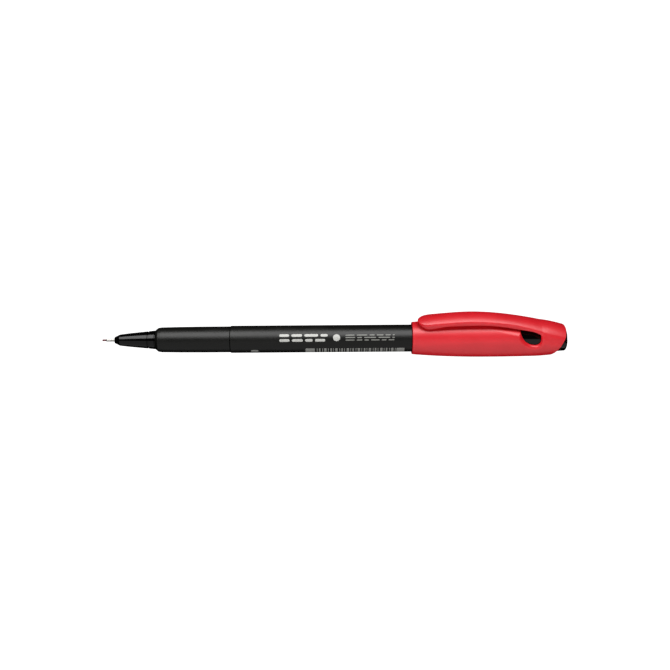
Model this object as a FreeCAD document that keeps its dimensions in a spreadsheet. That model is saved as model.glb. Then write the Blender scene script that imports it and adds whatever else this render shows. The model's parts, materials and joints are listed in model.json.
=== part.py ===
import FreeCAD, Part
import math
import os
import Sketcher
from FreeCAD import Vector

# A fineliner pen with its cap pushed onto the rear end. The pen lies along X with the writing
# tip towards -X, and the clip stands straight up towards +Z. X = 0 is the middle of the bare
# barrel, between its two shoulders. All sizes are in millimetres.

DIMENSIONS = {
    # stations along the pen
    "tip_end": -78.75,
    "sleeve_front": -77.45,
    "cone_front": -74.25,
    "cone_seal_front": -72.55,
    "cone_collar": -63.0,
    "cone_back": -59.75,
    "grip_front": -59.45,
    "front_shoulder": -32.45,
    "rear_shoulder": 32.45,
    "barrel_back": 55.15,
    "cap_mouth": 32.5,
    "inner_cap_mouth": 55.4,
    "cap_waist": 60.0,
    "cap_heel": 80.0,
    "cap_back": 87.65,
    "inner_cap_back": 87.9,
    # radii
    "nib_radius": 0.3,
    "sleeve_radius": 0.48,
    "wick_radius": 0.6,
    "cone_tip_radius": 1.2,
    "cone_dome_radius": 2.0,
    "cone_back_radius": 3.36,
    "grip_front_radius": 3.7,
    "grip_neck_radius": 4.42,
    "grip_radius": 4.64,
    "barrel_radius": 4.87,
    "barrel_bore_radius": 3.8,
    "reservoir_radius": 3.2,
    "wrap_radius": 3.3,
    "cap_bore_radius": 4.685,
    "inner_cap_radius": 5.15,
    "inner_cap_bore_radius": 4.4,
    "cap_mouth_radius": 5.8,
    "cap_belly_radius": 6.9,
    "cap_heel_radius": 6.56,
    # fits
    "press_gap": 0.02,
    # clip
    "clip_front": 34.25,
    "clip_half_width": 3.5,
    "clip_nose": 4.3,
    "clip_root_half_width": 4.5,
    "clip_crown_radius": 7.0,
    "clip_flare": 65.5,
    "hinge_station": 75.7,
    "hinge_height": 6.2,
    "knuckle_radius": 1.06,
    "knuckle_gap": 0.03,
    # window under the clip's root, the lower part of a round hole cut across the cap
    "window_station": 76.15,
    "window_height": 6.05,
    "window_radius": 5.45,
    "window_back": 78.05,
    # roof of the cap over the sloping crown of the inner cap
    "hood_front": 83.0,
    "hood_wall": 0.75,
    # rear opening of the cap, a plane leaning over the axis
    "slant_station": 85.25,
    "slant_lean": 0.6,
}
CLEAR = 9.0  # further from the axis than any outside of the cap, for tools that cut right through
ABOVE = 12.0  # higher than the ridge of the clip

doc = FreeCAD.newDocument("FinelinerPen")
sizes = doc.addObject("Spreadsheet::Sheet", "Sizes")
for row, (alias, value) in enumerate(DIMENSIONS.items(), start=1):
    sizes.set(f"A{row}", alias.replace("_", " "))
    sizes.set(f"B{row}", str(value))
    sizes.setAlias(f"B{row}", alias)
doc.recompute()


def size(alias):
    """The present value of a driving dimension."""
    return float(getattr(sizes, alias))


def bound(text):
    """A sum of dimension names and numbers as an expression on the sheet."""
    words = text.split()
    return " ".join(f"Sizes.{word}" if word in DIMENSIONS else word for word in words)


def turned(label, corners):
    """A piece turned about the pen's axis from a closed outline of (station, radius) corners."""
    body = doc.addObject("PartDesign::Body", label)
    body.Label = label
    sketch = body.newObject("Sketcher::SketchObject", f"{label}_outline")
    plane = next(f for f in body.Origin.OriginFeatures if f.Role == "XZ_Plane")
    sketch.AttachmentSupport = [(plane, "")]
    sketch.MapMode = "FlatFace"
    bounds = [(bound(station), bound(radius)) for station, radius in corners]
    points = [Vector(sketch.evalExpression(a), sketch.evalExpression(b), 0) for a, b in bounds]
    count = len(points)
    for i in range(count):
        sketch.addGeometry(Part.LineSegment(points[i], points[(i + 1) % count]), False)
    for i in range(count):
        sketch.addConstraint(Sketcher.Constraint("Coincident", i, 2, (i + 1) % count, 1))
    for i, (station, radius) in enumerate(bounds):
        along = sketch.addConstraint(Sketcher.Constraint("DistanceX", i, 1, points[i].x))
        sketch.setExpression(f"Constraints[{along}]", station)
        if radius == "0":
            sketch.addConstraint(Sketcher.Constraint("PointOnObject", i, 1, -1))
        else:
            out = sketch.addConstraint(Sketcher.Constraint("DistanceY", i, 1, points[i].y))
            sketch.setExpression(f"Constraints[{out}]", radius)
    doc.recompute()
    turning = body.newObject("PartDesign::Revolution", f"{label}_turning")
    turning.Profile = sketch
    turning.ReferenceAxis = (sketch, ["H_Axis"])
    turning.Angle = 360
    doc.recompute()
    return body


# The writing tip: an extruded plastic nib with ink channels, ground round at its end. It runs
# through the steel sleeve and stops against the feed wick inside the nose cone.
turned("writing_tip", [
    ("tip_end", "0"),
    ("tip_end", "nib_radius - 0.09"),
    ("tip_end + 0.12", "nib_radius"),
    ("cone_front + 7.0", "nib_radius"),
    ("cone_front + 7.0", "0"),
])

# The stainless tube that clads the nib, pressed into the nose cone.
turned("tip_sleeve", [
    ("sleeve_front", "nib_radius"),
    ("sleeve_front", "sleeve_radius - 0.1"),
    ("sleeve_front + 0.15", "sleeve_radius"),
    ("cone_front + 6.9", "sleeve_radius"),
    ("cone_front + 6.9", "nib_radius"),
])

# The bonded-fibre wick that carries ink from the reservoir to the nib.
turned("feed_wick", [
    ("cone_front + 7.0", "0"),
    ("cone_front + 7.0", "wick_radius - 0.15"),
    ("cone_front + 7.2", "wick_radius"),
    ("grip_front + 16.8", "wick_radius"),
    ("grip_front + 17.0", "wick_radius - 0.15"),
    ("grip_front + 17.0", "0"),
])

# The glossy nose cone: a small domed snout, a long taper, one fine ring groove near its back and
# a spigot that is pressed into the grip section.
turned("nose_cone", [
    ("cone_front", "sleeve_radius"),
    ("cone_front", "cone_tip_radius - 0.15"),
    ("cone_front + 0.15", "cone_tip_radius"),
    ("cone_front + 1.0", "1.6"),
    ("cone_seal_front", "cone_dome_radius"),
    ("cone_seal_front + 3.3", "2.35"),
    ("cone_collar + 0.1", "cone_back_radius - 0.28"),
    ("cone_collar + 0.2", "cone_back_radius - 0.4"),
    ("cone_collar + 0.5", "cone_back_radius - 0.4"),
    ("cone_collar + 0.6", "cone_back_radius - 0.2"),
    ("cone_back", "cone_back_radius"),
    ("cone_back", "cone_back_radius - 0.4"),
    ("cone_back + 7.5", "cone_back_radius - 0.4"),
    ("cone_back + 8.0", "cone_back_radius - 0.7"),
    ("cone_back + 8.0", "1.6"),
    ("cone_front + 8.5", "wick_radius"),
    ("cone_front + 6.9", "wick_radius"),
    ("cone_front + 6.9", "sleeve_radius"),
])

# The matt grip section: a rounded front shoulder, a slight swell towards the back, and a spigot
# pressed into the barrel. The reservoir's front end stands in its bore.
turned("grip_section", [
    ("grip_front", "cone_back_radius - 0.38"),
    ("grip_front", "grip_front_radius - 0.1"),
    ("grip_front + 0.45", "grip_front_radius + 0.35"),
    ("grip_front + 1.2", "grip_neck_radius - 0.1"),
    ("grip_front + 1.9", "grip_neck_radius"),
    ("grip_front + 6.0", "grip_neck_radius + 0.1"),
    ("grip_front + 11.0", "grip_neck_radius + 0.17"),
    ("grip_front + 18.0", "grip_radius"),
    ("front_shoulder", "grip_radius"),
    ("front_shoulder", "barrel_bore_radius - press_gap"),
    ("front_shoulder + 9.5", "barrel_bore_radius - press_gap"),
    ("front_shoulder + 10.0", "barrel_bore_radius - 0.25"),
    ("front_shoulder + 10.0", "wrap_radius + press_gap"),
    ("cone_back + 8.6", "wrap_radius + press_gap"),
    ("cone_back + 8.2", "cone_back_radius - 0.38"),
])

# The barrel: a matt tube with a shoulder at each end. The reduced rear length is the seat that
# the cap is pushed onto when the pen is in use.
turned("barrel", [
    ("front_shoulder", "barrel_bore_radius"),
    ("front_shoulder", "barrel_radius - 0.12"),
    ("front_shoulder + 0.12", "barrel_radius"),
    ("rear_shoulder - 0.12", "barrel_radius"),
    ("rear_shoulder", "barrel_radius - 0.12"),
    ("rear_shoulder", "grip_radius"),
    ("barrel_back - 0.4", "grip_radius"),
    ("barrel_back", "grip_radius - 0.4"),
    ("barrel_back", "barrel_bore_radius"),
])

# The ink reservoir: a rod of bonded polyester fibre, bored at the front for the wick.
turned("ink_reservoir", [
    ("cone_back + 9.0", "wick_radius"),
    ("cone_back + 9.0", "reservoir_radius"),
    ("barrel_back - 8.0", "reservoir_radius"),
    ("barrel_back - 8.0", "0"),
    ("grip_front + 17.0", "0"),
    ("grip_front + 17.0", "wick_radius"),
])

# The clear film that the fibre rod is wrapped in, open at both ends.
turned("reservoir_wrap", [
    ("cone_back + 9.0", "reservoir_radius"),
    ("cone_back + 9.0", "wrap_radius"),
    ("barrel_back - 8.0", "wrap_radius"),
    ("barrel_back - 8.0", "reservoir_radius"),
])

# The plug that closes the barrel behind the reservoir. Its hollow spigot holds the rod forward.
turned("end_plug", [
    ("barrel_back - 8.0", "wrap_radius - 0.9"),
    ("barrel_back - 8.0", "wrap_radius"),
    ("barrel_back - 6.0", "barrel_bore_radius - press_gap"),
    ("barrel_back", "barrel_bore_radius - press_gap"),
    ("barrel_back", "grip_radius - 0.45"),
    ("barrel_back + 0.35", "grip_radius - 0.55"),
    ("barrel_back + 0.75", "grip_radius - 1.1"),
    ("barrel_back + 0.9", "0"),
    ("barrel_back - 0.6", "0"),
    ("barrel_back - 0.6", "wrap_radius - 0.9"),
])


def smooth_line(places):
    """A smooth curve in the XZ plane through these (station, height) places."""
    curve = Part.BSplineCurve()
    curve.interpolate([Vector(x, 0, z) for x, z in places])
    return curve.toShape()


def straight_line(places):
    """Straight edges in the XZ plane from each of these (station, height) places to the next."""
    points = [Vector(x, 0, z) for x, z in places]
    return [Part.makeLine(a, b) for a, b in zip(points, points[1:])]


def across(edges, half_width):
    """The prism that a closed outline in the XZ plane makes across the pen, both ways."""
    face = Part.Face(Part.Wire(Part.sortEdges(edges)[0]))
    face.translate(Vector(0, -half_width, 0))
    return face.extrude(Vector(0, 2 * half_width, 0))


def rod(radius, start, end):
    """A round bar on the pen's axis."""
    return Part.makeCylinder(radius, end - start, Vector(start, 0, 0), Vector(1, 0, 0))


# The cap's outer body is round, swelling from the mouth to a belly and drawn in to the heel.
mouth = size("cap_mouth")
waist = size("cap_waist")
back = size("cap_back")
mouth_radius = size("cap_mouth_radius")
belly = size("cap_belly_radius")
heel = size("cap_heel_radius")
heel_station = size("cap_heel")
rim = 0.25
swell = Part.Arc(
    Vector(mouth + rim, 0, mouth_radius),
    Vector((mouth + waist) / 2, 0, mouth_radius + 0.78 * (belly - mouth_radius)),
    Vector(waist, 0, belly),
).toShape()
taper = Part.Arc(
    Vector(waist, 0, belly),
    Vector((waist + heel_station) / 2, 0, belly - 0.1),
    Vector(heel_station, 0, heel),
).toShape()
outer_edges = [swell, taper] + straight_line([
    (heel_station, heel), (heel_station + 3.0, 6.25), (back, 5.3), (back, 0),
    (mouth, 0), (mouth, mouth_radius - rim), (mouth + rim, mouth_radius),
])
outer_face = Part.Face(Part.Wire(Part.sortEdges(outer_edges)[0]))
cap_round = outer_face.revolve(Vector(0, 0, 0), Vector(1, 0, 0), 360)

# The ridge of the clip and the sloping back of the cap are one line, seen from the side. The
# underside rises over the pocket gap, comes down at a bead near the free end, and lifts again
# at the tip so that cloth can slide in.
front = size("clip_front")
blade_back = 90.0
ridge_places = [
    (front, 8.05), (35.9, 8.55), (41.6, 9.4), (48.0, 10.0), (54.4, 10.22),
    (63.6, 9.5), (73.6, 7.7), (79.3, 6.3), (85.0, 4.7), (blade_back, 2.7),
]
underside_places = [
    (front, 7.7), (36.2, 6.75), (38.6, 6.35), (43.0, 7.2), (50.1, 7.7), (56.4, 7.85),
    (64.4, 7.1), (70.7, 5.95), (74.2, 5.4), (76.4, 4.85), (78.0, 3.7),
]
clip_sides = across(
    [smooth_line(ridge_places), smooth_line(underside_places)]
    + straight_line([ridge_places[0], underside_places[0]])
    + straight_line([ridge_places[-1], (blade_back, 2.4), (84.0, 3.7), underside_places[-1]]),
    CLEAR,
)

# Seen from above the clip is a long blade with a round end, wider where it grows out of the cap.
half = size("clip_half_width")
root_half = size("clip_root_half_width")
nose = front + size("clip_nose")
flare = size("clip_flare")


def blade_edge(side):
    """The straight edge of the blade and its flare into the cap, on one side of the pen."""
    return [
        Part.makeLine(Vector(nose, side * half, 0), Vector(flare, side * half, 0)),
        Part.Arc(
            Vector(flare, side * half, 0),
            Vector(flare + 8.0, side * (half + 0.45), 0),
            Vector(heel_station, side * root_half, 0),
        ).toShape(),
        Part.makeLine(Vector(heel_station, side * root_half, 0), Vector(blade_back, side * root_half, 0)),
    ]


blade = blade_edge(1) + blade_edge(-1)
blade.append(Part.Arc(Vector(nose, -half, 0), Vector(front, 0, 0), Vector(nose, half, 0)).toShape())
blade.append(Part.makeLine(Vector(blade_back, -root_half, 0), Vector(blade_back, root_half, 0)))
blade_prism = Part.Face(Part.Wire(Part.sortEdges(blade)[0])).extrude(Vector(0, 0, ABOVE))


def crowned(radius, depth=0.0):
    """A round bar bent along the ridge line, whose back is the crown of the clip and cap, or lies
    evenly under it at a depth."""
    spine = Part.Wire(smooth_line([(x, z - radius) for x, z in ridge_places]))
    slope = spine.Edges[0].tangentAt(spine.Edges[0].FirstParameter)
    start = Vector(ridge_places[0][0], 0, ridge_places[0][1] - radius)
    sweep = Part.BRepOffsetAPI.MakePipeShell(spine)
    sweep.setBiNormalMode(Vector(0, 1, 0))
    sweep.add(Part.Wire(Part.makeCircle(radius - depth, start, slope)))
    sweep.build()
    sweep.makeSolid()
    return sweep.shape()


crown_bar = crowned(size("clip_crown_radius"))
clip_block = clip_sides.common(blade_prism).common(crown_bar)

# Material that is cut away: the two bores, the window under the clip's root with the ramp that
# leads into it, the sloping back, and the slanted rear opening.
window_x, window_z = size("window_station"), size("window_height")
window_radius, window_back = size("window_radius"), size("window_back")
corner = 1.7  # rounding of the window's lower rear corner
hole_edge = [
    (window_x - window_radius * math.cos(a), window_z - window_radius * math.sin(a))
    for a in (math.radians(5 + 15 * step) for step in range(6))
]
window_low = hole_edge[-1][1]
window = across(
    [smooth_line(hole_edge + [(window_back - 0.35 * corner, window_low + 0.5 * corner), (window_back, 3.7)])]
    + straight_line([
        (window_back, 3.7), (window_back, 4.6), (74.0, 6.4), (61.5, 8.2), (61.5, 6.85), (66.5, 6.2),
        hole_edge[0],
    ]),
    CLEAR,
)
beyond = size("inner_cap_back") + 4.0
crown_front = 79.0  # where the round of the cap starts to be cut down to the ridge line
above_back = across(
    straight_line([(crown_front, 0), (beyond, 0), (beyond, CLEAR), (crown_front, CLEAR), (crown_front, 0)]),
    CLEAR,
).cut(crowned(size("clip_crown_radius") + 0.2))
lean = size("slant_lean")
slant = size("slant_station")
rear_opening = across(
    straight_line([
        (slant + lean * CLEAR, CLEAR), (slant - lean * CLEAR, -CLEAR), (beyond, -CLEAR), (beyond, CLEAR),
        (slant + lean * CLEAR, CLEAR),
    ]),
    CLEAR,
)
hood_front = size("hood_front")
front_bore = rod(size("cap_bore_radius"), mouth - 1, size("inner_cap_mouth"))
rear_bore = rod(size("inner_cap_radius") + size("press_gap"), size("inner_cap_mouth"), hood_front)

# The hood is the roof of the cap, an even wall under the crown, over the inner cap's rear part.
end_bore = rod(size("inner_cap_radius") + size("press_gap"), hood_front, beyond).common(
    crowned(size("clip_crown_radius"), size("hood_wall"))
)

tube = cap_round.cut(window).cut(above_back)
moulding = tube.fuse(clip_block).cut(front_bore).cut(rear_bore).cut(end_bore).cut(rear_opening)
moulding = moulding.cut(rod(CLEAR, back, beyond)).removeSplitter()

# The clip bends where it bridges the window. There the moulding is divided by a round knuckle.
hinge = Vector(size("hinge_station"), 0, size("hinge_height"))
knuckle = size("knuckle_radius")
gap = size("knuckle_gap")


def clip_room(grow):
    """The space of the free length of the clip, with the knuckle at its root."""
    outline = straight_line([
        (mouth, ABOVE), (mouth, 7.2), (35.8, 6.6), (38.6, 6.15), (43.0, 6.85), (63.4, 6.85), (70.7, 5.5),
        (hinge.x, 4.9), (hinge.x, ABOVE), (mouth, ABOVE),
    ])
    bar = Part.makeCylinder(knuckle + grow, 2 * CLEAR, hinge - Vector(0, CLEAR, 0), Vector(0, 1, 0))
    return across(outline, CLEAR).fuse(bar)


def biggest(shape):
    """The largest solid of a shape."""
    return max(shape.Solids, key=lambda s: s.Volume)


clip_shape = biggest(moulding.common(clip_room(0)))
shell_shape = biggest(moulding.cut(clip_room(gap)))

for label, shape in (("cap_shell", shell_shape), ("cap_clip", clip_shape)):
    feature = doc.addObject("Part::Feature", label)
    feature.Label = label
    feature.Shape = shape

# The black inner cap: a sleeve pushed in from the rear that seals over the grip section when the
# pen is closed. Its end fills the slanted opening and its crown is lowered to fit under the hood.
inner_outline = turned("inner_cap_blank", [
    ("inner_cap_mouth", "inner_cap_bore_radius + 0.15"),
    ("inner_cap_mouth", "inner_cap_radius - 0.15"),
    ("inner_cap_mouth + 0.15", "inner_cap_radius"),
    ("cap_back - 5.0", "inner_cap_radius"),
    ("inner_cap_back - 0.7", "inner_cap_radius - 0.25"),
    ("inner_cap_back - 0.2", "inner_cap_radius - 0.5"),
    ("inner_cap_back - 0.05", "inner_cap_radius - 1.1"),
    ("inner_cap_back", "0"),
    ("inner_cap_back - 2.4", "0"),
    ("inner_cap_back - 6.4", "3.1"),
    ("inner_cap_back - 7.6", "inner_cap_bore_radius"),
    ("inner_cap_mouth + 0.15", "inner_cap_bore_radius"),
])
rear_part = hood_front - 0.05
inner_cap = doc.addObject("Part::Feature", "inner_cap")
inner_cap.Label = "inner_cap"
inner_cap.Shape = inner_outline.Shape.cut(rod(CLEAR, rear_part, beyond)).fuse(
    inner_outline.Shape.common(rod(CLEAR, rear_part, beyond)).common(
        crowned(size("clip_crown_radius"), size("hood_wall") + 0.05)
    )
).removeSplitter()

doc.recompute()

NODES = [
    "writing_tip", "tip_sleeve", "feed_wick", "nose_cone", "grip_section", "barrel", "ink_reservoir",
    "reservoir_wrap", "end_plug", "cap_shell", "cap_clip", "inner_cap",
]
for item in doc.Objects:
    if {"Invalid", "Error"} & set(item.State):
        raise RuntimeError(f"{item.Name} did not build: {item.State}")

os.makedirs("parts", exist_ok=True)
for label in NODES:
    shape = doc.getObjectsByLabel(label)[0].Shape
    if shape.isNull() or not shape.isValid() or len(shape.Solids) != 1:
        raise RuntimeError(f"{label}: not one valid solid")
    box = shape.BoundBox
    print(f"{label:15s} {shape.Volume:9.2f} mm3  x {box.XMin:7.2f}..{box.XMax:7.2f}"
          f"  y {box.YMin:6.2f}..{box.YMax:6.2f}  z {box.ZMin:6.2f}..{box.ZMax:6.2f}")
    shape.exportStep(f"parts/{label}.step")
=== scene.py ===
import json
import math
import random

import bmesh
import bpy
import numpy as np
from mathutils import Matrix, Vector

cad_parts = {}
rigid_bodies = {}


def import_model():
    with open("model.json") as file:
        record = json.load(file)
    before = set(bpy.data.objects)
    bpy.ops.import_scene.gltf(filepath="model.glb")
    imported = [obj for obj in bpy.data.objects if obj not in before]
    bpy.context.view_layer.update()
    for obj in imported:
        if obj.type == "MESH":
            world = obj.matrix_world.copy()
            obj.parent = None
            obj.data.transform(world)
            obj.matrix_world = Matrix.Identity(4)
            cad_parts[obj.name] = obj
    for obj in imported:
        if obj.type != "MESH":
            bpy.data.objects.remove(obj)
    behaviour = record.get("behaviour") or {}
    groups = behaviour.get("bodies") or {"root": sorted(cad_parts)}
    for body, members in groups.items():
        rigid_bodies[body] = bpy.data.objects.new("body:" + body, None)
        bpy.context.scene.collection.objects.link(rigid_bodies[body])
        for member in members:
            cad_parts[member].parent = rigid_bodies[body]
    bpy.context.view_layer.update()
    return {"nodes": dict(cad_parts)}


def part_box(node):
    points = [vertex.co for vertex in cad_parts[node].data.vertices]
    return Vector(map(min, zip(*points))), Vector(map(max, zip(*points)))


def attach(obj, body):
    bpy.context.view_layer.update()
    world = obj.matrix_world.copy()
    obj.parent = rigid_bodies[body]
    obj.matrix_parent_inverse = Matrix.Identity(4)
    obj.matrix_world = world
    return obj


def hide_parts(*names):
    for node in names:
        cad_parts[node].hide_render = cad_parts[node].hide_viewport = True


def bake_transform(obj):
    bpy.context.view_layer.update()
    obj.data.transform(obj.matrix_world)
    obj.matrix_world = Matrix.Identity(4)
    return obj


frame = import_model()
MM = 0.001


# ---------------------------------------------------------------------------------------------
# Writing tip: a fine capillary rod of extruded acetal, ground to a dome, dark with red ink.
# The end of the rod stands a millimetre out of its steel sleeve.
# ---------------------------------------------------------------------------------------------
def mm_box(node):
    """A CAD node's lowest and highest corners in millimetres."""
    low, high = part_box(node)
    return low / MM, high / MM


def rounded_outline(corners):
    """Dense (station, radius) places and outward normals of an outline whose corners, given as
    (station, radius, rounding), are replaced by tangent arcs. A corner with no rounding is kept
    sharp: its place is there twice, once with each side's normal."""
    places, normals = [], []
    for i, (x, r, rounding) in enumerate(corners):
        here = Vector((x, r))
        if rounding == 0:
            for one, two in ((i - 1, i), (i, i + 1)):
                if one >= 0 and two < len(corners):
                    along = (Vector(corners[two][:2]) - Vector(corners[one][:2])).normalized()
                    places.append(here)
                    normals.append(Vector((-along.y, along.x)))
            continue
        back = Vector(corners[i - 1][:2]) - here
        ahead = Vector(corners[i + 1][:2]) - here
        turn = math.pi - back.angle(ahead)
        reach = rounding * math.tan(turn / 2)
        limit = 0.49 * min(back.length, ahead.length)
        if reach > limit:
            reach = limit
            rounding = reach / math.tan(turn / 2)
        start = here + back.normalized() * reach
        inward = (back.normalized() + ahead.normalized()).normalized()
        centre = here + inward * (rounding / math.cos(turn / 2))
        first = start - centre
        left = back.x * ahead.y - back.y * ahead.x
        steps = max(3, round(math.degrees(turn) / 9))
        for step in range(steps + 1):
            angle = math.copysign(turn * step / steps, -left)
            out = Matrix.Rotation(angle, 2) @ first
            places.append(centre + out)
            normals.append(out.normalized() * math.copysign(1, -left) * -1)
    return places, normals


def mesh_piece(name, points, faces, material, normals=None):
    """A new object at the origin from points in millimetres, with exact normals where given."""
    mesh = bpy.data.meshes.new(name)
    mesh.from_pydata([tuple(p) for p in np.asarray(points, float) * MM], [], faces)
    mesh.materials.append(material)
    mesh.shade_smooth()
    if normals is not None:
        mesh.normals_split_custom_set_from_vertices([tuple(n) for n in normals])
    piece = bpy.data.objects.new(name, mesh)
    bpy.context.scene.collection.objects.link(piece)
    return piece


def turned(name, corners, material, segments=112):
    """A piece turned about the pen's axis. The outline runs from front to back along its outside
    and, for a hollow piece, back along its inside."""
    places, normals = rounded_outline(corners)
    ring_angles = [2 * math.pi * s / segments for s in range(segments)]
    points, pointing, rings = [], [], []
    for place, normal in zip(places, normals):
        if place.y < 1e-6:
            rings.append([len(points)])
            points.append((place.x, 0, 0))
            pointing.append((normal.x, 0, 0))
            continue
        rings.append(list(range(len(points), len(points) + segments)))
        for a in ring_angles:
            points.append((place.x, place.y * math.cos(a), place.y * math.sin(a)))
            pointing.append((normal.x, normal.y * math.cos(a), normal.y * math.sin(a)))
    pairs = list(zip(rings, rings[1:]))
    if len(rings[0]) > 1:
        pairs.append((rings[-1], rings[0]))
    faces = []
    for one, two in pairs:
        for s in range(segments):
            t = (s + 1) % segments
            if len(one) == 1 and len(two) == 1:
                continue
            if len(one) == 1:
                faces.append((one[0], two[t], two[s]))
            elif len(two) == 1:
                faces.append((one[s], one[t], two[0]))
            else:
                faces.append((one[s], one[t], two[t], two[s]))
    return mesh_piece(name, points, faces, material, pointing)


def linear(hex_colour):
    """An sRGB hex colour as linear RGBA."""
    values = [int(hex_colour[i:i + 2], 16) / 255 for i in (1, 3, 5)]
    return [v / 12.92 if v <= 0.04045 else ((v + 0.055) / 1.055) ** 2.4 for v in values] + [1.0]


def add_node(tree, kind, settings=None, links=None):
    """Adds a node, sets its properties and inputs, and links its inputs from other sockets."""
    node = tree.nodes.new(kind)
    for key, value in (settings or {}).items():
        if isinstance(key, str) and hasattr(node, key) and key not in node.inputs:
            setattr(node, key, value)
        else:
            node.inputs[key].default_value = value
    for key, socket in (links or {}).items():
        tree.links.new(socket, node.inputs[key])
    return node


def new_material(name, base, roughness, **inputs):
    """A material with one Principled shader. Returns it with its tree and shader."""
    material = bpy.data.materials.new(name)
    material.use_nodes = True
    tree = material.node_tree
    tree.nodes.clear()
    shader = add_node(
        tree, "ShaderNodeBsdfPrincipled", {"Base Color": linear(base), "Roughness": roughness},
    )
    for key, value in inputs.items():
        shader.inputs[key.replace("_", " ")].default_value = value
    add_node(tree, "ShaderNodeOutputMaterial", links={"Surface": shader.outputs[0]})
    return material, tree, shader


def object_noise(tree, size_mm, detail=3.0, stretch=(1, 1, 1)):
    """Noise on object coordinates whose grain is about size_mm across."""
    where = add_node(tree, "ShaderNodeTexCoord")
    mapped = add_node(tree, "ShaderNodeMapping", {"Scale": stretch}, {"Vector": where.outputs["Object"]})
    return add_node(
        tree, "ShaderNodeTexNoise",
        {"Scale": 1.0 / (size_mm * MM), "Detail": detail, "Roughness": 0.55},
        {"Vector": mapped.outputs[0]},
    ).outputs["Fac"]


def textured(tree, shader, pattern, colours=None, roughness=None, depth_mm=0.0, strength=1.0):
    """Lets a pattern move the shader's colour between two hex colours and its roughness between
    two values, and raises the surface by the pattern, each only where it is given."""
    reach = {"From Min": 0.3, "From Max": 0.7}
    if colours:
        share = add_node(tree, "ShaderNodeMapRange", reach, {"Value": pattern})
        ends = {"data_type": "RGBA", 6: linear(colours[0]), 7: linear(colours[1])}
        mix = add_node(tree, "ShaderNodeMix", ends, {0: share.outputs[0]})
        tree.links.new(mix.outputs[2], shader.inputs["Base Color"])
    if roughness:
        ends = {"To Min": roughness[0], "To Max": roughness[1]}
        spread = add_node(tree, "ShaderNodeMapRange", {**reach, **ends}, {"Value": pattern})
        tree.links.new(spread.outputs[0], shader.inputs["Roughness"])
    if depth_mm:
        size = {"Strength": strength, "Distance": depth_mm * MM}
        bump = add_node(tree, "ShaderNodeBump", size, {"Height": pattern})
        tree.links.new(bump.outputs[0], shader.inputs["Normal"])


# Extruded acetal soaked with red ink: dark crimson, slightly wet.
nib_material, tree, shader = new_material("inked_acetal_extruded", "#5A0C18", 0.38, IOR=1.48)
grain = object_noise(tree, 0.12, stretch=(0.25, 1, 1))
textured(tree, shader, grain, colours=("#43060F", "#74202A"), depth_mm=0.01)

low, high = mm_box("writing_tip")
nib_radius = high.z
writing_tip = turned("writing_tip_nib", [
    (low.x, 0, 0),
    (low.x, nib_radius, 0.16),
    (high.x, nib_radius, 0.02),
    (high.x, 0, 0),
], nib_material, segments=32)
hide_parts("writing_tip")
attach(writing_tip, "pen")


# ---------------------------------------------------------------------------------------------
# Tip sleeve: a drawn stainless tube that clads the nib. It is pressed into the nose cone, and its
# rim is swaged in over the rod.
# ---------------------------------------------------------------------------------------------
# Drawn stainless steel: light grey and satin, with fine scratches along the tube.
steel, tree, shader = new_material("stainless_drawn_tube", "#B4B2AE", 0.34, Metallic=1.0)
scratch = object_noise(tree, 0.05, stretch=(0.06, 1, 1))
textured(tree, shader, scratch, roughness=(0.28, 0.42), depth_mm=0.004)

low, high = mm_box("tip_sleeve")
sleeve_radius = high.z
tip_sleeve = turned("tip_sleeve_tube", [
    (low.x, nib_radius + 0.01, 0),
    (low.x, nib_radius + 0.06, 0.03),
    (low.x + 0.3, sleeve_radius, 0.12),
    (high.x, sleeve_radius, 0.02),
    (high.x, nib_radius + 0.01, 0),
], steel, segments=48)
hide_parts("tip_sleeve")
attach(tip_sleeve, "pen")


# ---------------------------------------------------------------------------------------------
# Nose cone: injection-moulded ABS from a polished tool. A short dome carries the sleeve, then a
# long taper runs back to one fine ring groove and a collar that seats in the grip.
# ---------------------------------------------------------------------------------------------
# ABS from a polished tool: deep black with sharp highlights and a faint haze.
gloss_black, tree, shader = new_material("abs_moulded_gloss_black", "#070707", 0.13, IOR=1.43)
textured(tree, shader, object_noise(tree, 1.6, detail=4.0), roughness=(0.1, 0.16))
textured(tree, shader, object_noise(tree, 2.5, detail=1.0), depth_mm=0.006)

low, high = mm_box("nose_cone")
front = low.x
grip_front = mm_box("grip_section")[0].x
collar_radius = high.z
nose_cone = turned("nose_cone_taper", [
    (front, sleeve_radius + 0.01, 0),
    (front, 1.12, 0.12),
    (front + 0.9, 1.52, 0.6),
    (front + 1.65, 1.9, 0.25),
    (front + 1.85, 2.0, 0.1),
    (front + 5.6, 2.46, 12.0),
    (front + 11.9, 3.06, 0.06),
    (front + 12.0, 2.8, 0.03),
    (front + 12.28, 2.8, 0.03),
    (front + 12.38, 3.12, 0.06),
    (grip_front - 0.32, collar_radius - 0.02, 0.1),
    (grip_front - 0.3, 2.97, 0.03),
    (high.x - 0.4, 2.94, 0.1),
    (high.x, 2.5, 0.1),
    (high.x, 1.6, 0.1),
    (front + 8.0, 0.62, 0.3),
    (front + 6.9, sleeve_radius + 0.01, 0),
], gloss_black)
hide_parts("nose_cone")
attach(nose_cone, "pen")


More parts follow.
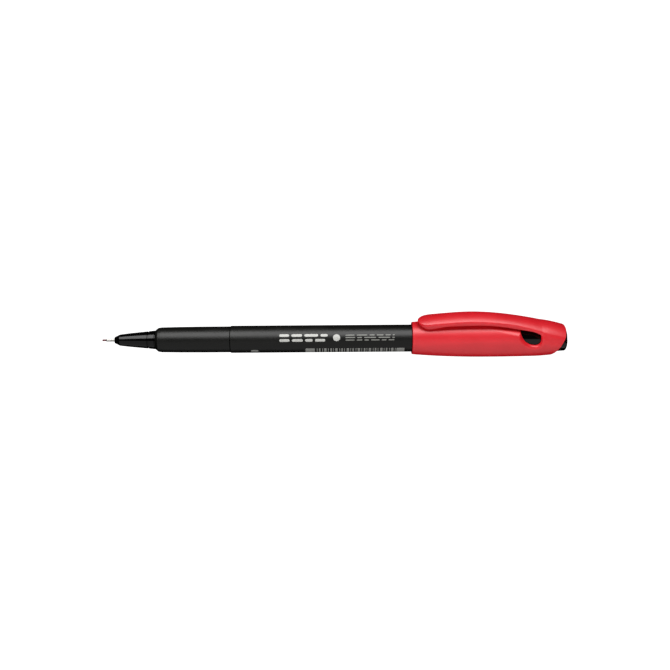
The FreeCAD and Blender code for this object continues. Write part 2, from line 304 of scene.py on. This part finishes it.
# ---------------------------------------------------------------------------------------------
# Grip section: ABS moulded in a spark-eroded tool, which leaves an even matt grain. It swells
# a little towards the back and is pressed into the barrel with a hairline joint.
# ---------------------------------------------------------------------------------------------
def matt_black(name, seed_shift):
    """Spark-eroded black ABS: a close grain, a broad soft sheen, faint rubbed patches."""
    material, tree, shader = new_material(name, "#10100F", 0.42, IOR=1.46)
    where = add_node(tree, "ShaderNodeTexCoord")
    moved = add_node(
        tree, "ShaderNodeMapping", {"Location": (seed_shift * MM, 0, 0)},
        {"Vector": where.outputs["Object"]},
    )
    grain, rubbed = (
        add_node(
            tree, "ShaderNodeTexNoise", {"Scale": 1 / (size_mm * MM), "Detail": detail},
            {"Vector": moved.outputs[0]},
        ).outputs["Fac"]
        for size_mm, detail in ((0.22, 2.0), (9, 5.0))
    )
    textured(tree, shader, rubbed, colours=("#0F0F0D", "#141412"), roughness=(0.36, 0.44))
    textured(tree, shader, grain, depth_mm=0.012, strength=0.6)
    return material


grip_plastic = matt_black("abs_spark_eroded_grip", 4.0)
low, high = mm_box("grip_section")
shoulder = mm_box("barrel")[0].x
grip_radius = high.z
grip_section = turned("grip_section_sleeve", [
    (grip_front, 2.98, 0),
    (grip_front, 3.5, 0.1),
    (grip_front + 0.95, 4.28, 0.75),
    (grip_front + 2.2, 4.46, 1.6),
    (grip_front + 9.0, 4.58, 30.0),
    (grip_front + 18.0, grip_radius, 60.0),
    (shoulder - 0.16, grip_radius, 0.1),
    (shoulder - 0.12, 3.8, 0.02),
    (high.x - 0.4, 3.76, 0.1),
    (high.x, 3.5, 0.1),
    (high.x, 3.35, 0.05),
    (low.x + 8.5, 3.35, 0.1),
    (low.x + 8.0, 2.98, 0),
], grip_plastic)
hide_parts("grip_section")
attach(grip_section, "pen")


# ---------------------------------------------------------------------------------------------
# Barrel: a long moulded tube in the same matt ABS, with a shoulder at each end. The reduced
# length at the back is the seat that the cap is pushed onto.
# ---------------------------------------------------------------------------------------------
barrel_plastic = matt_black("abs_spark_eroded_barrel", 31.0)
low, high = mm_box("barrel")
barrel_radius = high.z
seat_station = -low.x
barrel = turned("barrel_tube", [
    (low.x, 3.82, 0),
    (low.x, barrel_radius, 0.13),
    (seat_station, barrel_radius, 0.13),
    (seat_station, grip_radius, 0.05),
    (high.x, grip_radius, 0.35),
    (high.x, 3.82, 0),
], barrel_plastic)
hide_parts("barrel")
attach(barrel, "pen")


# ---------------------------------------------------------------------------------------------
# Print on the barrel: plain pad-printed marks in light grey ink, a film a hundredth of a
# millimetre thick: two rows of dashes, a dot, three rows of finer dashes and a strip of bars, and
# one short mark near the front.
# ---------------------------------------------------------------------------------------------
def marks_tree():
    """A node tree that lays a rounded pad of ink on a tube at each of its input's points."""
    tree = bpy.data.node_groups.new("printed_marks", "GeometryNodeTree")
    for name, kind in (("Marks", "Geometry"), ("Tube Radius", "Float"), ("Film", "Float"),
                       ("Corner", "Float"), ("Ink", "Material")):
        tree.interface.new_socket(name, in_out="INPUT", socket_type="NodeSocket" + kind)
    tree.interface.new_socket("Printed", in_out="OUTPUT", socket_type="NodeSocketGeometry")
    given = add_node(tree, "NodeGroupInput").outputs
    pad = add_node(
        tree, "GeometryNodeMeshGrid", {"Size X": 2.0, "Size Y": 2.0, "Vertices X": 17, "Vertices Y": 13},
    )
    flat = add_node(tree, "GeometryNodeInputPosition").outputs[0]
    shape = add_node(
        tree, "GeometryNodeStoreNamedAttribute", {"data_type": "FLOAT_VECTOR", "Name": "shape"},
        {"Geometry": pad.outputs["Mesh"], "Value": flat},
    )
    copies = add_node(
        tree, "GeometryNodeInstanceOnPoints", None,
        {"Points": given["Marks"], "Instance": shape.outputs[0]},
    )
    real = add_node(tree, "GeometryNodeRealizeInstances", None, {"Geometry": copies.outputs[0]})

    values = {"tube": given["Tube Radius"], "film": given["Film"], "corner": given["Corner"]}
    for name, kind in (("station", "FLOAT"), ("turn", "FLOAT"), ("half_length", "FLOAT"),
                       ("half_height", "FLOAT"), ("shape", "FLOAT_VECTOR")):
        node = add_node(tree, "GeometryNodeInputNamedAttribute", {"data_type": kind, "Name": name})
        values[name] = node.outputs["Attribute"]
    across = add_node(tree, "ShaderNodeSeparateXYZ", None, {"Vector": values["shape"]}).outputs
    values["u"], values["v"] = across["X"], across["Y"]

    # u and v run from -1 to 1 over a pad. Its ends are round by a share of its height, its rim
    # dips into the tube, and it is wrapped round the tube by its height.
    sums = (
        ("v_squared", "MULTIPLY", "v", "v"),
        ("rest", "SUBTRACT", 1.0, "v_squared"),
        ("chord", "SQRT", "rest"),
        ("bulge", "SUBTRACT", 1.0, "chord"),
        ("rounding", "MULTIPLY", "half_height", "corner"),
        ("shorter", "MULTIPLY", "rounding", "bulge"),
        ("reach", "SUBTRACT", "half_length", "shorter"),
        ("along", "MULTIPLY", "u", "reach"),
        ("x", "ADD", "station", "along"),
        ("arc", "MULTIPLY", "v", "half_height"),
        ("swing", "DIVIDE", "arc", "tube"),
        ("angle", "ADD", "turn", "swing"),
        ("u_off", "ABSOLUTE", "u"),
        ("v_off", "ABSOLUTE", "v"),
        ("off", "MAXIMUM", "u_off", "v_off"),
        ("edge", "POWER", "off", 16.0),
        ("level", "SUBTRACT", 0.8, "edge"),
        ("lift", "MULTIPLY", "film", "level"),
        ("radius", "ADD", "tube", "lift"),
        ("cosine", "COSINE", "angle"),
        ("sine", "SINE", "angle"),
        ("near", "MULTIPLY", "radius", "cosine"),
        ("y", "MULTIPLY", "near", -1.0),
        ("z", "MULTIPLY", "radius", "sine"),
    )
    for name, operation, *terms in sums:
        numbers = {i: term for i, term in enumerate(terms) if not isinstance(term, str)}
        sockets = {i: values[term] for i, term in enumerate(terms) if isinstance(term, str)}
        values[name] = add_node(
            tree, "ShaderNodeMath", {"operation": operation, **numbers}, sockets,
        ).outputs[0]
    wrapped = add_node(
        tree, "ShaderNodeCombineXYZ", None, {"X": values["x"], "Y": values["y"], "Z": values["z"]},
    )
    placed = add_node(
        tree, "GeometryNodeSetPosition", None,
        {"Geometry": real.outputs[0], "Position": wrapped.outputs[0]},
    )
    inked = add_node(
        tree, "GeometryNodeSetMaterial", None,
        {"Geometry": placed.outputs[0], "Material": given["Ink"]},
    )
    add_node(tree, "NodeGroupOutput", None, {"Printed": inked.outputs[0]})
    return tree


def printed(name, marks, ink, corner):
    """A printed piece from marks of (station, turn in degrees, half length, half height) in mm.
    The turn is measured upwards round the barrel from its near side."""
    seed = bpy.data.meshes.new(name)
    seed.from_pydata([(m[0] * MM, 0, 0) for m in marks], [], [])
    columns = {
        "station": [m[0] * MM for m in marks],
        "turn": [math.radians(m[1]) for m in marks],
        "half_length": [m[2] * MM for m in marks],
        "half_height": [m[3] * MM for m in marks],
    }
    for key, values in columns.items():
        seed.attributes.new(key, "FLOAT", "POINT").data.foreach_set("value", values)
    piece = bpy.data.objects.new(name, seed)
    bpy.context.scene.collection.objects.link(piece)
    modifier = piece.modifiers.new("marks", "NODES")
    modifier.node_group = marks_group
    values = {"Tube Radius": barrel_radius * MM, "Film": film_height, "Corner": corner, "Ink": ink}
    for item in marks_group.interface.items_tree:
        if item.in_out == "INPUT" and item.name in values:
            modifier[item.identifier] = values[item.name]
    ready = piece.evaluated_get(bpy.context.evaluated_depsgraph_get())
    mesh = bpy.data.meshes.new_from_object(ready)
    piece.modifiers.remove(modifier)
    piece.data = mesh
    mesh.name = name
    mesh.shade_smooth()
    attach(piece, "pen")
    return piece


def ink_material(name, colour, dark):
    """Pad-printing ink: a slightly mottled matt film."""
    material, tree, shader = new_material(name, colour, 0.5)
    mottle = object_noise(tree, 0.3, detail=4.0)
    textured(tree, shader, mottle, colours=(dark, colour), roughness=(0.42, 0.6), depth_mm=0.004)
    return material


marks_group = marks_tree()
film_height = 0.012 * MM
silver_ink = ink_material("pad_print_ink_silver", "#BDBDB9", "#AAAAA6")
grey_ink = ink_material("pad_print_ink_grey", "#868682", "#767672")
random.seed(11)


def dash_rows(start, end, turns, half_height, lengths, gap):
    """Rows of dashes from start to end, each row broken up in its own way."""
    marks = []
    for turn in turns:
        at = start
        while at < end - 0.6:
            length = min(random.uniform(*lengths), end - at)
            marks.append((at + length / 2, turn, length / 2, half_height))
            at += length + gap
    return marks


round_ends, square_ends = 1.0, 0.02
upper, middle, lower = 52.5, 42.0, 31.5
bold_rows = dash_rows(-14.9, 2.4, (upper, lower), 0.5, (2.2, 5.2), 0.75)
printed("print_bold_dashes", bold_rows, silver_ink, round_ends)
printed("print_dot", [(5.5, middle, 1.3, 1.3)], silver_ink, round_ends)
fine_rows = dash_rows(8.6, 26.2, (upper, middle, lower), 0.2, (1.6, 4.4), 0.7)
printed("print_fine_dashes", fine_rows, grey_ink, round_ends)

strip_turn, strip_half_height = -32.0, 2.3
bars = [(-3.95, strip_turn, 1.75, strip_half_height), (28.3, strip_turn, 1.5, strip_half_height)]
at = -1.6
for number in range(29):
    width = (0.32, 0.62, 0.32, 0.95)[number % 4]
    bars.append((at + width / 2, strip_turn, width / 2, strip_half_height))
    at += width + (0.42, 0.55, 0.36)[number % 3]
printed("print_bars", bars, silver_ink, square_ends)
printed("print_short_mark", [(-23.8, -22.0, 1.4, 0.6)], silver_ink, round_ends)


# ---------------------------------------------------------------------------------------------
# Ink reservoir, its film wrap and the feed wick stay inside the barrel, so the CAD solids carry
# them. Bonded fibre soaked with red ink, wrapped in a clear film.
# ---------------------------------------------------------------------------------------------
# Bonded polyester fibre: soft strands along the rod, dull and stained unevenly.
fibre, tree, shader = new_material("polyester_fibre_bonded", "#8E1420", 0.8)
strands = object_noise(tree, 0.25, stretch=(0.08, 1, 1))
textured(tree, shader, strands, colours=("#6E0D18", "#A9323A"), depth_mm=0.05)

# Polypropylene film: a pale gloss with shallow wrinkles along it.
film, tree, shader = new_material("polypropylene_film_wrap", "#D9D9DC", 0.2, IOR=1.49)
textured(tree, shader, object_noise(tree, 3.0), roughness=(0.14, 0.3))
textured(tree, shader, object_noise(tree, 1.2, stretch=(0.3, 1, 1)), depth_mm=0.02)

for node, material, slot in (
    ("ink_reservoir", fibre, "ink_fibre"),
    ("feed_wick", fibre, "ink_fibre"),
    ("reservoir_wrap", film, "wrap_film"),
):
    inside = frame["nodes"][node]
    inside.data.materials.clear()
    inside.data.materials.append(material)


# ---------------------------------------------------------------------------------------------
# End plug: moulded black polypropylene, pressed into the barrel behind the reservoir. Its low
# dome has a gate dimple in the middle.
# ---------------------------------------------------------------------------------------------
# Moulded polypropylene: a waxy, slightly uneven satin.
plug_plastic, tree, shader = new_material("polypropylene_moulded_plug", "#191917", 0.34, IOR=1.49)
textured(tree, shader, object_noise(tree, 0.5), depth_mm=0.01, strength=0.5)
textured(tree, shader, object_noise(tree, 4.0), roughness=(0.28, 0.42))

low, high = mm_box("end_plug")
barrel_back = mm_box("barrel")[1].x
end_plug = turned("end_plug_dome", [
    (low.x, 0, 0),
    (low.x, 3.1, 0.2),
    (low.x + 2.0, 3.76, 0.2),
    (barrel_back + 0.02, 3.78, 0.02),
    (barrel_back + 0.03, grip_radius - 0.47, 0.06),
    (barrel_back + 0.3, grip_radius - 0.5, 0.25),
    (high.x, 3.0, 0.8),
    (high.x - 0.02, 0.55, 0.1),
    (high.x - 0.22, 0.35, 0.1),
    (high.x - 0.22, 0, 0),
], plug_plastic, segments=96)
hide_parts("end_plug")
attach(end_plug, "pen")


# ---------------------------------------------------------------------------------------------
# Inner cap: a black polypropylene sleeve pushed into the cap from the rear. It shows through the
# window as a plain gloss tube, and its end fills the slanted opening.
# ---------------------------------------------------------------------------------------------
def fair_curve(knots):
    """The smoothest curve through (x, value) knots, as a function of x."""
    x, v = (np.array(column, float) for column in zip(*knots))
    step = np.diff(x)
    rows = len(x)
    system = np.eye(rows)
    right = np.zeros(rows)
    for i in range(1, rows - 1):
        system[i, i - 1:i + 2] = step[i - 1], 2 * (step[i - 1] + step[i]), step[i]
        right[i] = 6 * ((v[i + 1] - v[i]) / step[i] - (v[i] - v[i - 1]) / step[i - 1])
    bend = np.linalg.solve(system, right)

    def curve(at):
        at = np.clip(at, x[0], x[-1])
        i = np.clip(np.searchsorted(x, at) - 1, 0, rows - 2)
        a, b = (x[i + 1] - at) / step[i], (at - x[i]) / step[i]
        return (
            a * v[i] + b * v[i + 1]
            + ((a**3 - a) * bend[i] + (b**3 - b) * bend[i + 1]) * step[i] ** 2 / 6
        )
    return curve


# Polypropylene from a polished tool: black, with a wet-looking gloss.
inner_plastic, tree, shader = new_material("polypropylene_moulded_inner_cap", "#0A0A09", 0.14, IOR=1.49)
textured(tree, shader, object_noise(tree, 3.0), roughness=(0.1, 0.16))
textured(tree, shader, object_noise(tree, 0.8), depth_mm=0.006, strength=0.5)

cap_low, cap_high = mm_box("cap_shell")
mouth, cap_end = cap_low.x, cap_high.x
belly = -cap_low.z
clip_low, clip_high = mm_box("cap_clip")
clip_front, ridge_top = clip_low.x, clip_high.z - 0.02
ridge = fair_curve([
    (mouth, 7.4), (clip_front + 0.1, 8.08), (35.9, 8.55), (41.6, 9.4), (48.0, 10.0),
    (54.4, ridge_top), (63.6, 9.5), (73.6, 7.68), (79.3, 6.26), (85.0, 4.65), (88.0, 3.6),
])
low, high = mm_box("inner_cap")
inner_radius = -low.z
hood_front, hood_wall, crown_radius = 83.0, 0.75, 6.9
inner_cap = turned("inner_cap_sleeve", [
    (low.x, 4.5, 0),
    (low.x, inner_radius, 0.15),
    (hood_front, inner_radius, 3.0),
    (high.x - 0.25, inner_radius - 0.3, 0.7),
    (high.x - 0.06, 3.2, 1.0),
    (high.x, 0, 0),
    (high.x - 2.4, 0, 0),
    (high.x - 6.4, 3.1, 0.5),
    (high.x - 7.6, 4.4, 0.5),
    (low.x + 0.1, 4.4, 0),
], inner_plastic)


def lower_under_hood(piece, clearance=0.05):
    """Presses the rear top of a piece down until it clears the inside of the cap's hood."""
    for v in piece.data.vertices:
        x, y, z = v.co / MM
        if x > hood_front - clearance and abs(y) < crown_radius:
            roof_radius = crown_radius - hood_wall - clearance
            roof = ridge(x) - crown_radius + math.sqrt(roof_radius ** 2 - y * y)
            v.co.z = min(z, float(roof)) * MM


lower_under_hood(inner_cap)
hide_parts("inner_cap")
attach(inner_cap, "cap")


# ---------------------------------------------------------------------------------------------
# Cap and clip: one moulding in satin red ABS. The tube swells from its mouth to a belly; the
# clip bridges the window and runs forward over it, with all edges blended. The surface is the
# zero level of one distance rule, skinned with a net of quads.
# ---------------------------------------------------------------------------------------------
def both(a, b, r):
    """Where two solids overlap, with their shared edge rounded to radius r."""
    return np.minimum(-r, np.maximum(a, b)) + np.hypot(np.maximum(a + r, 0), np.maximum(b + r, 0))


def either(a, b, r):
    """Two solids joined, with a fillet of radius r between them."""
    return np.maximum(r, np.minimum(a, b)) - np.hypot(np.maximum(r - a, 0), np.maximum(r - b, 0))


underside = fair_curve([
    (mouth, 8.6), (clip_front + 0.1, 7.5), (36.2, 6.7), (38.6, 6.35), (43.0, 7.2), (50.1, 7.7),
    (56.4, 7.85), (64.4, 7.1), (70.7, 5.95), (74.2, 5.38), (76.4, 4.8), (78.4, 3.7), (83.0, 2.0),
])
blade_half, blade_nose, flare_station, flare_length = 3.48, 4.3, 65.5, 14.5
root_cut, overlap = 76.7, 1.5
fillet_station, fillet_run, fillet_radius = 75.5, 5, 0.9
seat_radius = grip_radius + 0.045
seal_station, seal_radius = mm_box("inner_cap")[0].x, inner_radius + 0.02
slant_station, slant_lean = 85.25, 0.6
belly_station, heel_station, heel_rate = 60.0, 76.0, 0.0065
swell_length, swell_depth, taper_length, taper_depth = 27.5, 1.1, 17, 0.19
back_radius = 7.0
window_station, window_height, window_radius, window_back = 76.15, 6.05, 5.45, 78.05
ramp_station, ramp_height, ramp_slope = 70.4, 5.3, 0.2055


def bored(solid, x, y, z):
    """The solid less the room for the barrel seat and the inner cap, and cut at the mouth and
    along the slanted rear face."""
    slant = (x - slant_station - slant_lean * z) / math.hypot(1, slant_lean)
    solid = both(solid, both(slant, x - cap_end, 0.5), 0.18)
    solid = both(solid, mouth - x, 0.22)
    bore = np.hypot(y, z) - np.where(x < seal_station, seat_radius, seal_radius)
    under_crown = np.hypot(y, np.maximum(z - ridge(x) + crown_radius, 0)) - crown_radius + hood_wall
    hood = np.where(x > hood_front, under_crown, -9.0)
    return both(solid, -np.maximum(bore, hood), 0.1)


def blade_field(p):
    """Distance in millimetres from the surface of the clip, negative inside."""
    x, y, z = p[..., 0], p[..., 1], p[..., 2]
    flare = blade_half + np.clip((x - flare_station) / flare_length, 0, 1.1) ** 2
    short_of_nose = np.minimum(x - clip_front - blade_nose, 0)
    round_end = np.hypot(short_of_nose * blade_half / blade_nose, y) - flare
    crown = np.hypot(y, np.maximum(z - ridge(x) + crown_radius, 0)) - crown_radius
    return both(both(crown, round_end, 0.5), (underside(x) - z) * 0.97, 0.3)


def shell_field(p):
    """The same for the cap, with the root of the clip from the window's middle backwards."""
    x, y, z = p[..., 0], p[..., 1], p[..., 2]
    swell = np.clip((belly_station - x) / swell_length, 0, None) ** 2.2 * swell_depth
    taper = taper_depth * np.clip((x - belly_station) / taper_length, 0, None) ** 2
    heel = heel_rate * np.clip(x - heel_station, 0, None) ** 2
    tube = np.hypot(y, z) - (belly - swell - taper - heel)
    back = np.hypot(y, np.maximum(z - ridge(x) + back_radius, 0)) - back_radius
    body = both(tube, back, 0.9)

    right = x - window_back
    hole = np.hypot(x - window_station, z - window_height) - window_radius
    above = -(z - ramp_height + ramp_slope * (x - ramp_station)) / math.hypot(1, ramp_slope)
    window = np.minimum(both(hole, right, 1.7), both(above, right, 0.5))
    body = both(body, -window, 1.25)
    root = np.maximum(blade_field(p), root_cut - overlap - x)
    fillet = np.clip((x - fillet_station) / fillet_run, 0, 1) * fillet_radius
    return bored(either(body, root, fillet), x, y, z)


def clip_field(p):
    """The same for the clip alone, carried a little past the plane where it leaves the cap."""
    x, y, z = p[..., 0], p[..., 1], p[..., 2]
    return bored(np.maximum(blade_field(p), x - root_cut - overlap), x, y, z)


def slope(field, at, reach=0.004):
    """The field's gradient at a place."""
    return np.stack([
        (field(at + reach * unit) - field(at - reach * unit)) / (2 * reach) for unit in np.eye(3)
    ], -1)


def net(field, axes, place):
    """A net of quads over the field's zero level, one point to each grid cell that it crosses.
    place turns grid coordinates into places; returns points, unit normals and quads."""
    grid = np.stack(np.meshgrid(*axes, indexing="ij"), -1)
    f = field(place(grid))
    total, count = np.zeros(f.shape + (3,)), np.zeros(f.shape)
    crossings = []
    for a in range(3):
        b, c = (a + 1) % 3, (a + 2) % 3
        ahead = np.roll(f, -1, a)
        crossed = (f < 0) != (ahead < 0)
        t = np.where(crossed, f / np.where(crossed, f - ahead, 1), 0)
        crossings.append((a, b, c, crossed, f < 0))
        for db in (0, 1):
            for dc in (0, 1):
                here = np.roll(np.roll(crossed, -db, b), -dc, c)
                total[..., a] += np.roll(np.roll(t, -db, b), -dc, c)
                total[..., b] += here * db
                total[..., c] += here * dc
                count += here
    cells = np.argwhere(count > 0)
    index = np.full(f.shape, -1)
    index[tuple(cells.T)] = np.arange(len(cells))
    local = total[tuple(cells.T)] / count[tuple(cells.T)][:, None]
    steps = np.array([axis[1] - axis[0] for axis in axes])
    starts = np.array([axis[0] for axis in axes])
    points = place(starts + (cells + local) * steps)
    quads = []
    for a, b, c, crossed, inside in crossings:
        below, beside = np.roll(index, 1, b), np.roll(index, 1, c)
        ring = (index, below, np.roll(below, 1, c), beside)
        corners = np.stack([cell[crossed] for cell in ring], -1)
        corners[~inside[crossed]] = corners[~inside[crossed]][:, ::-1]
        quads.append(corners)
    quads = np.concatenate(quads)
    for _ in range(4):
        g = slope(field, points)
        size = np.maximum((g * g).sum(-1), 0.05)
        points = points - np.clip(field(points) / size, -0.1, 0.1)[:, None] * g
    normals = slope(field, points)
    normals /= np.maximum(np.linalg.norm(normals, axis=1), 1e-9)[:, None]
    corner = points[quads]
    across = np.cross(corner[:, 2] - corner[:, 0], corner[:, 3] - corner[:, 1])
    if (across * normals[quads[:, 0]]).sum() < 0:
        quads = quads[:, ::-1]
    return points, normals, quads


def round_the_axis(g):
    """Grid coordinates (station, angle, radius) as places."""
    return np.stack([g[..., 0], g[..., 2] * np.cos(g[..., 1]), g[..., 2] * np.sin(g[..., 1])], -1)


def cut_at_root(field, points, normals, quads, name, material, unwanted):
    """A net cut by the plane across the clip's root, less its unwanted faces, closed there."""
    mesh = bpy.data.meshes.new(name)
    mesh.from_pydata(points.tolist(), [], quads.tolist())
    work = bmesh.new()
    work.from_mesh(mesh)
    pointing = work.verts.layers.float_vector.new("pointing")
    for v, n in zip(work.verts, normals):
        v[pointing] = n
    bmesh.ops.bisect_plane(
        work, geom=work.verts[:] + work.edges[:] + work.faces[:], plane_co=(root_cut, 0, 0),
        plane_no=(1, 0, 0), dist=1e-5,
    )
    for v in work.verts:
        if abs(v.co.x - root_cut) < 1e-4:
            v[pointing] = slope(field, np.array(v.co))
    gone = [f for f in work.faces if unwanted(f.calc_center_median())]
    bmesh.ops.delete(work, geom=gone, context="FACES")
    rim = [e for e in work.edges if e.is_boundary]
    bmesh.ops.holes_fill(work, edges=rim, sides=0)
    exact = [Vector(v[pointing]).normalized() for v in work.verts]
    work.to_mesh(mesh)
    work.free()
    mesh.transform(Matrix.Scale(MM, 4))
    mesh.materials.append(material)
    mesh.shade_smooth()
    mesh.normals_split_custom_set_from_vertices(exact)
    piece = bpy.data.objects.new(name, mesh)
    bpy.context.scene.collection.objects.link(piece)
    return piece


# ABS from a lightly blasted tool: a satin red with broad soft highlights. A little light goes
# into it and softens its edges.
red, tree, shader = new_material("abs_moulded_satin_red", "#E92C38", 0.39, IOR=1.5)
shader.inputs["Specular IOR Level"].default_value = 1.0
shader.inputs["Subsurface Weight"].default_value = 0.12
shader.inputs["Subsurface Radius"].default_value = (0.9, 0.25, 0.2)
shader.inputs["Subsurface Scale"].default_value = 0.6 * MM
cloudy = object_noise(tree, 7.0, detail=4.0)
textured(tree, shader, cloudy, colours=("#E62A36", "#EC2E3A"), roughness=(0.36, 0.42))
textured(tree, shader, object_noise(tree, 0.35, detail=2.0), depth_mm=0.006, strength=0.5)

# Cells of 0.2 to 0.3 mm carry the smallest blends. The shell sheds its stub of the clip ahead of
# the cut across the root, and the clip sheds what runs past it.
shell_net = net(
    shell_field,
    (
        np.arange(mouth - 0.9, cap_end + 1.2, 0.31),
        np.linspace(0, 2 * math.pi, 160, endpoint=False),
        np.arange(2.5, 8.4, 0.21),
    ),
    round_the_axis,
)
cap_shell = cut_at_root(
    shell_field, *shell_net, "cap_shell_moulding", red,
    lambda c: root_cut - 2 < c.x < root_cut and c.z > 3,
)
clip_net = net(
    clip_field,
    (
        np.arange(clip_front - 0.9, root_cut + 2, 0.24),
        np.arange(-5.9, 5.9, 0.24),
        np.arange(2.9, 10.9, 0.24),
    ),
    lambda g: g,
)
cap_clip = cut_at_root(clip_field, *clip_net, "cap_clip_blade", red, lambda c: c.x > root_cut)
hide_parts("cap_shell")
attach(cap_shell, "cap")
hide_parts("cap_clip")
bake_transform(cap_clip)


# ---------------------------------------------------------------------------------------------
# The set: a pale board well below the pen, seen from the front and above as on a copy stand. The
# black pieces have a broad soft box overhead and a weak low fill. The red pieces have a narrower
# box and weaker fills of their own, so that neither is over-lit.
# ---------------------------------------------------------------------------------------------
elevation, roll, distance = math.radians(38), math.radians(-0.41), 0.36
back = Vector((0, -math.cos(elevation), math.sin(elevation)))
up = Vector((0, math.sin(elevation), math.cos(elevation)))
target = Vector((4.95 * MM, 0, 0)) + up * (1.296 * MM)
camera_data = bpy.data.cameras.new("camera")
camera_data.sensor_width = 36
camera_data.lens = 53.7313
camera_data.clip_start = 0.01
camera = bpy.data.objects.new("camera", camera_data)
bpy.context.scene.collection.objects.link(camera)
camera.location = target + back * distance
camera.rotation_euler = back.to_track_quat("Z", "Y").to_euler()
camera.rotation_euler.rotate_axis("Z", roll)
bpy.context.scene.camera = camera
bpy.context.scene.view_settings.view_transform = "Standard"
bpy.context.scene.view_settings.look = "Medium High Contrast"


def around(degrees, distance):
    """A place in the plane across the pen, at an elevation from the viewer's side."""
    angle = math.radians(degrees)
    return (0, -distance * math.cos(angle), distance * math.sin(angle))


def area_light(name, degrees, distance, width, height, brightness, lit):
    """A rectangular soft light aimed at the pen's middle, which reaches only the pieces of one
    collection. Its place is in degrees above the viewer's side and in metres."""
    data = bpy.data.lights.new(name, "AREA")
    data.shape = "RECTANGLE"
    data.size, data.size_y, data.energy = width, height, brightness * math.pi * width * height
    light = bpy.data.objects.new(name, data)
    bpy.context.scene.collection.objects.link(light)
    light.location = around(degrees, distance)
    light.rotation_euler = light.location.to_track_quat("Z", "Y").to_euler()
    light.light_linking.receiver_collection = lit
    return light


dark_pieces = bpy.data.collections.new("dark_pieces")
red_pieces = bpy.data.collections.new("red_pieces")
for piece in list(bpy.context.scene.objects):
    if piece.type == "MESH":
        (red_pieces if piece in (cap_shell, cap_clip) else dark_pieces).objects.link(piece)
area_light("overhead_box", 84, 0.55, 0.9, 0.50, 4.3, dark_pieces)
area_light("front_fill", -22, 0.60, 1.2, 1.3, 0.60, dark_pieces)
area_light("overhead_strip", 88, 0.55, 0.9, 0.30, 3.7, red_pieces)
area_light("low_card", -22, 0.60, 1.2, 1.3, 0.45, red_pieces)
area_light("camera_side_card", 0, 0.60, 1.2, 1.3, 0.5, red_pieces).visible_glossy = False

# The white surroundings are seen by the camera and light nothing.
world = bpy.data.worlds.new("studio")
bpy.context.scene.world = world
world.use_nodes = True
world.node_tree.nodes["Background"].inputs[0].default_value = (1, 1, 1, 1)
world.cycles_visibility.diffuse = False
world.cycles_visibility.glossy = False

# White board paint, lit from within so that the ground is an even white. It lights nothing else.
floor_material, tree, shader = new_material("painted_board_floor", "#F4F4F2", 0.7)
textured(tree, shader, object_noise(tree, 60.0), colours=("#FDFDFD", "#FFFFFF"))
board = shader.inputs["Base Color"].links[0].from_socket
tree.links.new(board, shader.inputs["Emission Color"])
shader.inputs["Emission Strength"].default_value = 1.0
floor_half, floor_depth = 4000, -450
floor_signs = ((-1, -1), (1, -1), (1, 1), (-1, 1))
floor_corners = [(i * floor_half, j * floor_half, floor_depth) for i, j in floor_signs]
floor = mesh_piece("floor", floor_corners, [(0, 1, 2, 3)], floor_material)
floor.visible_diffuse = floor.visible_glossy = floor.visible_shadow = False
